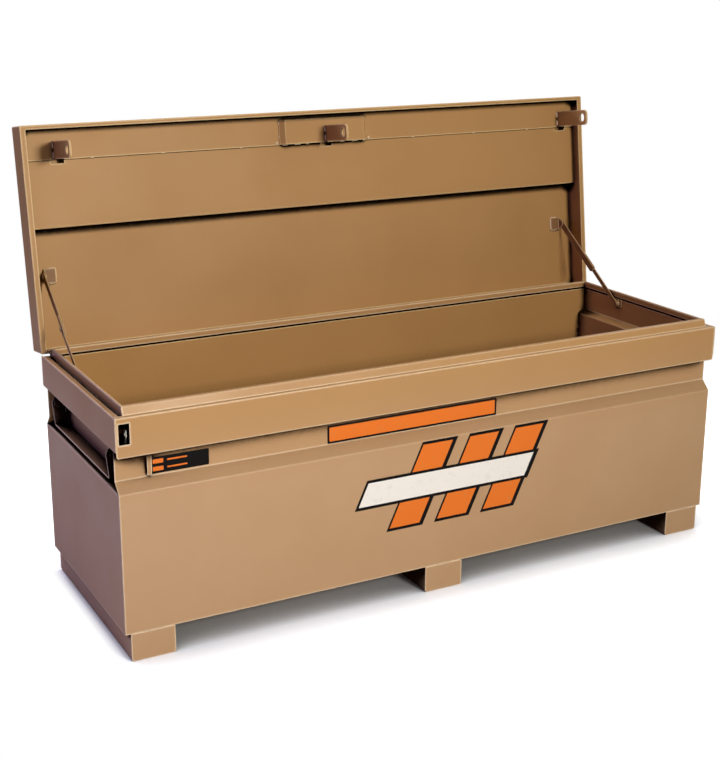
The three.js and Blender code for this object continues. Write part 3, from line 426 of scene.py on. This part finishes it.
def plated(name, settings):
    material, tree = newMaterial(name)
    place = add(tree, "ShaderNodeTexCoord").outputs["Object"]
    stretch = add(tree, "ShaderNodeMapping", [("Vector", place)], in_Scale=drawing["stretch"])
    lines = add(tree, "ShaderNodeTexNoise", [("Vector", stretch.outputs[0])],
                in_Scale=perMetre / settings["lineMm"], in_Detail=drawing["lineDetail"])
    blotch = add(tree, "ShaderNodeTexNoise", [("Vector", place)],
                 in_Scale=drawing["blotchesPerMetre"], in_Detail=drawing["blotchDetail"])
    tone = add(tree, "ShaderNodeMix", [(0, blotch.outputs["Fac"])], data_type="RGBA",
               in_6=linear(settings["colour"]), in_7=linear(settings["dark"]))
    rough = add(tree, "ShaderNodeMapRange", [(0, lines.outputs["Fac"])], in_1=drawing["sheenFrom"],
                in_2=drawing["sheenTo"], in_3=settings["roughness"] - drawing["smoother"],
                in_4=settings["roughness"] + drawing["rougher"])
    bump = add(tree, "ShaderNodeBump", [("Height", lines.outputs["Fac"])],
               in_Strength=drawing["lineStrength"], in_Distance=drawing["lineDepthMm"] * mm)
    skin = add(tree, "ShaderNodeBsdfPrincipled",
               [("Base Color", tone.outputs[2]), ("Roughness", rough.outputs[0]),
                ("Normal", bump.outputs[0])], in_Metallic=1.0)
    add(tree, "ShaderNodeOutputMaterial", [(0, skin.outputs[0])])
    return material


zincPlate = plated("zincPlate", metals["zincPlate"])
drawnSteel = plated("drawnSteel", metals["drawnSteel"])

# Every carried-over node takes the finish of its record slot, apart from those with one of their own
finishes = {"tan_paint": tanEnamel, "inner_paint": shadedInnerEnamel, "zinc": zincPlate,
            "dark_steel": drawnSteel}
slotOf = {row["node"]: row["material_slot"] for row in frame["record"]["subparts"]}
# the lid's shell and the rear panel take the inner enamel's painted shade
ownFinish = {"lid_shell": shadedInnerEnamel, "rear_panel": shadedInnerEnamel, "lock_housing": shadowedHousingEnamel}
for name in nodes:
    if "stay" in name:
        ownFinish[name] = darkStayEnamel
    if "handle" in name:
        ownFinish[name] = tanEnamel
for name, node in nodes.items():
    node.data.materials.clear()
    node.data.materials.append(ownFinish.get(name, finishes[slotOf[name]]))
print("finishes set on the nodes")


# Pieces made here: faces and points in corner millimetres, one object for each kind
def makePiece(name, points, faces, body, material, smooth=False):
    mesh = bpy.data.meshes.new(name)
    mesh.from_pydata([tuple(p) for p in toRow(points)], [], [tuple(f) for f in faces])
    mesh.materials.append(material)
    if smooth:
        mesh.polygons.foreach_set("use_smooth", [True] * len(mesh.polygons))
    piece = bpy.data.objects.new(name, mesh)
    bpy.context.scene.collection.objects.link(piece)
    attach(piece, body)


# Several (points, faces) grids as one
def gather(grids):
    points, faces, start = [], [], 0
    for grid, quads in grids:
        points.append(grid)
        faces.extend([tuple(i + start for i in quad) for quad in quads])
        start += len(grid)
    return np.concatenate(points), faces


# Quads of a grid of rings, closed round each ring, with an end cap at both ends
def ringFaces(rings, sides):
    quads = [(r * sides + k, r * sides + (k + 1) % sides, (r + 1) * sides + (k + 1) % sides,
              (r + 1) * sides + k) for r in range(rings - 1) for k in range(sides)]
    caps = [tuple(range(sides))[::-1], tuple((rings - 1) * sides + k for k in range(sides))]
    return quads + caps


leaningWay = (0.36, 0.48, 0.80)  # no bead or rivet here points along it


# A way square to the given one
def squareTo(way):
    side = np.cross(way, leaningWay)
    return side / np.linalg.norm(side)


# A circle of unit radius in the plane of two ways, as an array of places
def unitRing(side, up, sides):
    turn = np.linspace(0, 2 * np.pi, sides, endpoint=False)
    return np.cos(turn)[:, None] * side + np.sin(turn)[:, None] * up


# Weld beads, in millimetres: each ripple is one dab of the torch
beadShape = dict(ripple=4.0, ripples=0.15, ringsPerRipple=4, leastRings=5, sides=8, endShare=0.34,
                 wander=0.15, wanderLength=17)


# Weld bead from one point to another. Its radius is the given one times 0.85 plus 0.15 of the cosine
# of the way along over the ripple, taken down to a third at both ends within one radius, and its
# middle wanders sideways by a slow sine.
def bead(start, end, radius):
    b = beadShape
    start, end = np.array(start, float), np.array(end, float)
    reach = np.linalg.norm(end - start)
    way = (end - start) / reach
    side = squareTo(way)
    up = np.cross(side, way)
    rings = max(b["leastRings"], int(reach / b["ripple"] * b["ringsPerRipple"]))
    s = np.linspace(0, 1, rings)
    taper = np.minimum(1, b["endShare"] + np.minimum(s, 1 - s) * reach / radius * (1 - b["endShare"]))
    wave = np.cos(2 * np.pi * s * reach / b["ripple"])
    r = radius * taper * (1 - b["ripples"] + b["ripples"] * wave)
    wander = b["wander"] * radius * np.sin(s * reach / b["wanderLength"] + start[0])
    middle = start + s[:, None] * (end - start) + wander[:, None] * side
    grid = middle[:, None, :] + r[:, None, None] * unitRing(side, up, b["sides"])[None, :, :]
    return grid.reshape(-1, 3), ringFaces(rings, b["sides"])


# Rivet dome on a face: the profile goes from the rim up to topShare of a quarter turn, out by the
# radius times its cosine and up by the height times its sine, and is turned about the way out
domeShape = dict(sides=20, steps=6, topShare=0.94)


def dome(place, way, radius, height):
    way = np.array(way, float)
    side = squareTo(way)
    ring = unitRing(side, np.cross(way, side), domeShape["sides"])
    t = np.linspace(0, np.pi / 2 * domeShape["topShare"], domeShape["steps"])
    grid = (np.array(place, float) + radius * np.cos(t)[:, None, None] * ring[None]
            + height * np.sin(t)[:, None, None] * way)
    return grid.reshape(-1, 3), ringFaces(domeShape["steps"], domeShape["sides"])


# Tack welds where the lid's two inner panels lap: short beads far apart, and a close row of them
# along the foot of the centre box, of uneven lengths and with a gap at the hasp
seamWelds = dict(tacks=(196, 402, 640, 1216, 1437, 1640), tackLength=9, radius=1.4,
                 row=(778, 1052, 38), dash=16, uneven=0.4, unevenTurn=2.4, hasp=(900, 930),
                 offLap=0.4, offPanel=0.6)


def makeSeamWelds():
    w = seamWelds
    y, z = lid["lapEnd"] + w["offLap"], lid["innerPanel"] + w["offPanel"]
    grids = [bead((x, y, z), (x + w["tackLength"], y, z), w["radius"]) for x in w["tacks"]]
    for i, x in enumerate(np.arange(*w["row"])):
        reach = w["dash"] * (1 + w["uneven"] * math.sin(i * w["unevenTurn"]))
        if x + reach < w["hasp"][0] or x > w["hasp"][1]:
            grids.append(bead((x, y, z), (x + reach, y, z), w["radius"]))
    points, faces = gather(grids)
    makePiece("lid_seam_welds", toOpenLid(points), faces, "lid", highlightEnamel, smooth=True)


# Fillet welds at the roots of the three hasps, along both faces of each plate at its front and rear.
# seats are the heights of the faces that the plates hang from on the closed lid.
haspWelds = dict(places=(92.6, 911, 1765), seats=(678, 661, 678), thickness=6, front=43, rear=86,
                 radius=2.6, reach=17, beside=0.7, below=0.9)


def makeHaspWelds():
    w = haspWelds
    grids = []
    for x, seat in zip(w["places"], w["seats"]):
        z = seat - w["below"]
        for face in (x - w["beside"], x + w["thickness"] + w["beside"]):
            for y in (w["front"], w["rear"] - w["reach"]):
                grids.append(bead((face, y, z), (face, y + w["reach"], z), w["radius"]))
    points, faces = gather(grids)
    makePiece("hasp_welds", toOpenLid(points), faces, "lid", highlightEnamel, smooth=True)


# Welds of the centre box: a short bead at each end of its two slanted feet
boxWelds = dict(feet=(768, 1055), starts=(23, 62), reach=9, radius=1.6, seamZ=676.8)


def makeBoxWelds():
    w = boxWelds
    grids = [bead((x, y, w["seamZ"]), (x, y + w["reach"], w["seamZ"]), w["radius"])
             for x in w["feet"] for y in w["starts"]]
    points, faces = gather(grids)
    makePiece("centre_box_welds", toOpenLid(points), faces, "lid", highlightEnamel, smooth=True)


# Welds round the plate that holds each stay to the lid: one along its inner edge, one on each side.
# The inner edge is read off the plate's node.
plateWelds = dict(y=406, halfLength=20, width=22, z=715.0, radius=1.9, beside=0.8)


def makePlateWelds():
    w = plateWelds
    front, rear = w["y"] - w["halfLength"], w["y"] + w["halfLength"]
    grids = []
    for name, inner in (("left_stay_lid_bracket", 1), ("right_stay_lid_bracket", -1)):
        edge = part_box(name)[1 if inner > 0 else 0][0] / mm + chest["length"] / 2
        outer = edge - inner * w["width"]
        for y in (front - w["beside"], rear + w["beside"]):
            grids.append(bead((outer, y, w["z"]), (edge, y, w["z"]), w["radius"]))
        x = edge + inner * w["beside"]
        grids.append(bead((x, front, w["z"]), (x, rear, w["z"]), w["radius"]))
    points, faces = gather(grids)
    makePiece("stay_plate_welds", toOpenLid(points), faces, "lid", highlightEnamel, smooth=True)


# Welds of the skids under the body: short fillets along both top edges of each folded channel, and
# two at each closed end. endBeads are measured from the skid's left face.
skidWelds = dict(lefts=(14, 856.5, 1699), width=116, radius=2.4, reach=34, pitch=92, first=8,
                 lastGap=6, beside=0.8, below=0.4, endBeads=((6, 34), (82, 110)), endRadius=1.6,
                 endInset=0.9)


def makeSkidWelds():
    w = skidWelds
    z = chest["skidHeight"] - w["below"]
    grids = []
    for left in w["lefts"]:
        for x in (left + w["beside"], left + w["width"] - w["beside"]):
            for y in np.arange(w["first"], chest["depth"] - w["reach"] - w["lastGap"], w["pitch"]):
                grids.append(bead((x, y, z), (x, y + w["reach"], z), w["radius"]))
        for y in (w["endInset"], chest["depth"] - w["endInset"]):
            for start, end in w["endBeads"]:
                grids.append(bead((left + start, y, z), (left + end, y, z), w["endRadius"]))
    points, faces = gather(grids)
    makePiece("skid_welds", points, faces, "chest", highlightEnamel, smooth=True)


# Welds where the sheets of the body meet: short upright beads at the four corners above the belt,
# inset from the ends and from the front and rear
cornerWelds = dict(endInset=47.2, faceInset=29.4, low=474, high=546, reach=15, pitch=26, lastGap=20,
                   radius=1.4)


def makeCornerWelds():
    w = cornerWelds
    grids = []
    for x in (w["endInset"], chest["length"] - w["endInset"]):
        for y in (w["faceInset"], chest["depth"] - w["faceInset"]):
            for z in np.arange(w["low"], w["high"] - w["lastGap"], w["pitch"]):
                grids.append(bead((x, y, z), (x, y, z + w["reach"]), w["radius"]))
    points, faces = gather(grids)
    makePiece("corner_welds", points, faces, "chest", highlightEnamel, smooth=True)


# Rivets: the domes that hold the hinge's leaves, and one beside each foot of the centre box
leafRivets = dict(inset=52, count=24, bodyZ=616, lidZ=663, face=612.0, radius=3.4, height=1.5)
boxRivets = dict(xs=(759, 1064), y=84, z=677.9, radius=4.2, height=2.0)


def makeRivets():
    w = leafRivets
    xs = np.linspace(w["inset"], chest["length"] - w["inset"], w["count"])
    for name, z, place, body in (("hinge_body_rivets", w["bodyZ"], np.asarray, "chest"),
                                 ("hinge_lid_rivets", w["lidZ"], toOpenLid, "lid")):
        points, faces = gather([dome((x, w["face"], z), (0, 1, 0), w["radius"], w["height"]) for x in xs])
        makePiece(name, place(points), faces, body, tanEnamel, smooth=True)
    w = boxRivets
    points, faces = gather([dome((x, w["y"], w["z"]), (0, 0, -1), w["radius"], w["height"])
                            for x in w["xs"]])
    # the box rivets take the paler enamel, a painted highlight
    makePiece("centre_box_rivets", toOpenLid(points), faces, "lid", highlightEnamel, smooth=True)


# Frame of the lock opening: the edge of the cut, rolled back to a round lip. Its path is the
# opening's rectangle with rounded corners, its section a circle of the lip's radius, pressed to
# flatShare of its depth.
lockFrame = dict(left=4, right=33, low=568, high=622, corner=2.5, cornerSteps=5, radius=1.0,
                 flatShare=0.8, sides=10, inset=0.8)


def makeLockFrame():
    f = lockFrame
    y = chest["headerFront"] + f["inset"]
    corners = [(f["right"], f["low"], -90), (f["right"], f["high"], 0), (f["left"], f["high"], 90),
               (f["left"], f["low"], 180)]
    path = []
    for x, z, first in corners:
        cx = x - f["corner"] if x == f["right"] else x + f["corner"]
        cz = z - f["corner"] if z == f["high"] else z + f["corner"]
        for t in np.radians(np.linspace(first, first + 90, f["cornerSteps"])):
            path.append((cx + f["corner"] * math.cos(t), cz + f["corner"] * math.sin(t),
                         math.cos(t), math.sin(t)))
    turn = np.linspace(0, 2 * np.pi, f["sides"], endpoint=False)
    points = [(x + f["radius"] * math.cos(a) * outX, y + f["radius"] * math.sin(a) * f["flatShare"],
               z + f["radius"] * math.cos(a) * outZ) for x, z, outX, outZ in path for a in turn]
    sides, rings = len(turn), len(path)
    faces = [(r * sides + k, r * sides + (k + 1) % sides, (r + 1) % rings * sides + (k + 1) % sides,
              (r + 1) % rings * sides + k) for r in range(rings) for k in range(sides)]
    # the lip takes the paler enamel, a painted highlight on its round
    makePiece("lock_opening_lip", points, faces, "chest", highlightEnamel, smooth=True)


# Stickers, in millimetres: a film that stands off an upright front face by a hair, and a thinner
# print on it
sticker = dict(off=0.1, film=0.25, print=0.12)


# A flat polygon of film, drawn as a thin closed prism that comes forward from y
def film(outlineXZ, y, thickness):
    n = len(outlineXZ)
    front = [(x, y - thickness, z) for x, z in outlineXZ]
    back = [(x, y, z) for x, z in outlineXZ]
    faces = [tuple(range(n)), tuple(range(2 * n - 1, n - 1, -1))]
    faces += [(k, n + k, n + (k + 1) % n, (k + 1) % n) for k in range(n)]
    return np.array(front + back, float), faces


# A rectangle with rounded corners, as a list of (x, z) corners
def rounded(x0, x1, z0, z1, radius, steps=5):
    middles = [(x1 - radius, z0 + radius, -90), (x1 - radius, z1 - radius, 0),
               (x0 + radius, z1 - radius, 90), (x0 + radius, z0 + radius, 180)]
    return [(x + radius * math.cos(t), z + radius * math.sin(t)) for x, z, first in middles
            for t in np.radians(np.linspace(first, first + 90, steps))]


# A rectangle whose upright sides lean to the right, as a list of (x, z) corners: lean is a share of
# its height
def leaning(x0, x1, z0, z1, lean):
    shift = (z1 - z0) * lean
    return [(x0, z0), (x1, z0), (x1 + shift, z1), (x0 + shift, z1)]


# Label beside the latch's tab: black, with two short orange blocks and two orange bars
label = dict(x=(90, 243), z=(473, 515), corner=3, blockX=(97, 124), blockZs=(498, 479), blockHeight=11,
             blockCorner=1.5, barX=(134, 186), barZs=(502, 483), barHeight=4, barCorner=1)


def makeLabel():
    w = label
    y = chest["bandSetBack"] - sticker["off"]
    points, faces = film(rounded(*w["x"], *w["z"], w["corner"]), y, sticker["film"])
    makePiece("label_ground", points, faces, "chest", blackFilm)
    outlines = [rounded(*w["blockX"], z, z + w["blockHeight"], w["blockCorner"]) for z in w["blockZs"]]
    outlines += [rounded(*w["barX"], z, z + w["barHeight"], w["barCorner"]) for z in w["barZs"]]
    points, faces = gather([film(o, y - sticker["film"], sticker["print"]) for o in outlines])
    makePiece("label_bars", points, faces, "chest", orangeFilm)


# Strip on the middle of the band: orange with a black border
strip = dict(x=(571, 1090), z=(470.5, 519.5), border=5.5, corner=2, innerCorner=1.5)


def makeStrip():
    (x0, x1), (z0, z1), b = strip["x"], strip["z"], strip["border"]
    y = chest["bandSetBack"] - sticker["off"]
    points, faces = film(rounded(x0, x1, z0, z1, strip["corner"]), y, sticker["film"])
    makePiece("strip_ground", points, faces, "chest", blackFilm)
    inside = rounded(x0 + b, x1 - b, z0 + b, z1 - b, strip["innerCorner"])
    points, faces = film(inside, y - sticker["film"], sticker["print"])
    makePiece("strip_face", points, faces, "chest", orangeFilm)


# Emblem on the front panel: three leaning orange bars outlined in black, crossed by a white band
# outlined in black. The outline is line wide above and below, and its side share of that at the
# leaning sides. The layers are how far in front of the emblem's back each film starts.
emblem = dict(bars=(742, 890, 1038), barWidth=92, lean=0.46, low=212, high=432, line=8,
              barSideShare=1.2, band=(648, 1172, 288, 352), bandSideShare=1.4, barLayer=0.25,
              bandGroundLayer=0.40, bandLayer=0.55)


def makeEmblem():
    e = emblem
    y, line, wide = -sticker["off"], e["line"], e["line"] * e["barSideShare"]
    points, faces = gather([film(leaning(x - wide, x + e["barWidth"] + wide, e["low"] - line,
                                         e["high"] + line, e["lean"]), y, sticker["film"])
                            for x in e["bars"]])
    makePiece("emblem_grounds", points, faces, "chest", blackFilm)
    points, faces = gather([film(leaning(x, x + e["barWidth"], e["low"], e["high"], e["lean"]),
                                 y - e["barLayer"], sticker["print"]) for x in e["bars"]])
    makePiece("emblem_bars", points, faces, "chest", orangeFilm)
    x0, x1, z0, z1 = e["band"]
    wide = line * e["bandSideShare"]
    points, faces = film(leaning(x0 - wide, x1 + wide, z0 - line, z1 + line, e["lean"]),
                         y - e["bandGroundLayer"], sticker["print"])
    makePiece("emblem_band_ground", points, faces, "chest", blackFilm)
    points, faces = film(leaning(x0, x1, z0, z1, e["lean"]), y - e["bandLayer"], sticker["print"])
    makePiece("emblem_band", points, faces, "chest", whiteFilm)


makeSeamWelds()
makeHaspWelds()
makeBoxWelds()
makePlateWelds()
makeSkidWelds()
makeCornerWelds()
makeRivets()
makeLockFrame()
makeLabel()
makeStrip()
makeEmblem()
print("welds, rivets, lock lip and stickers made")
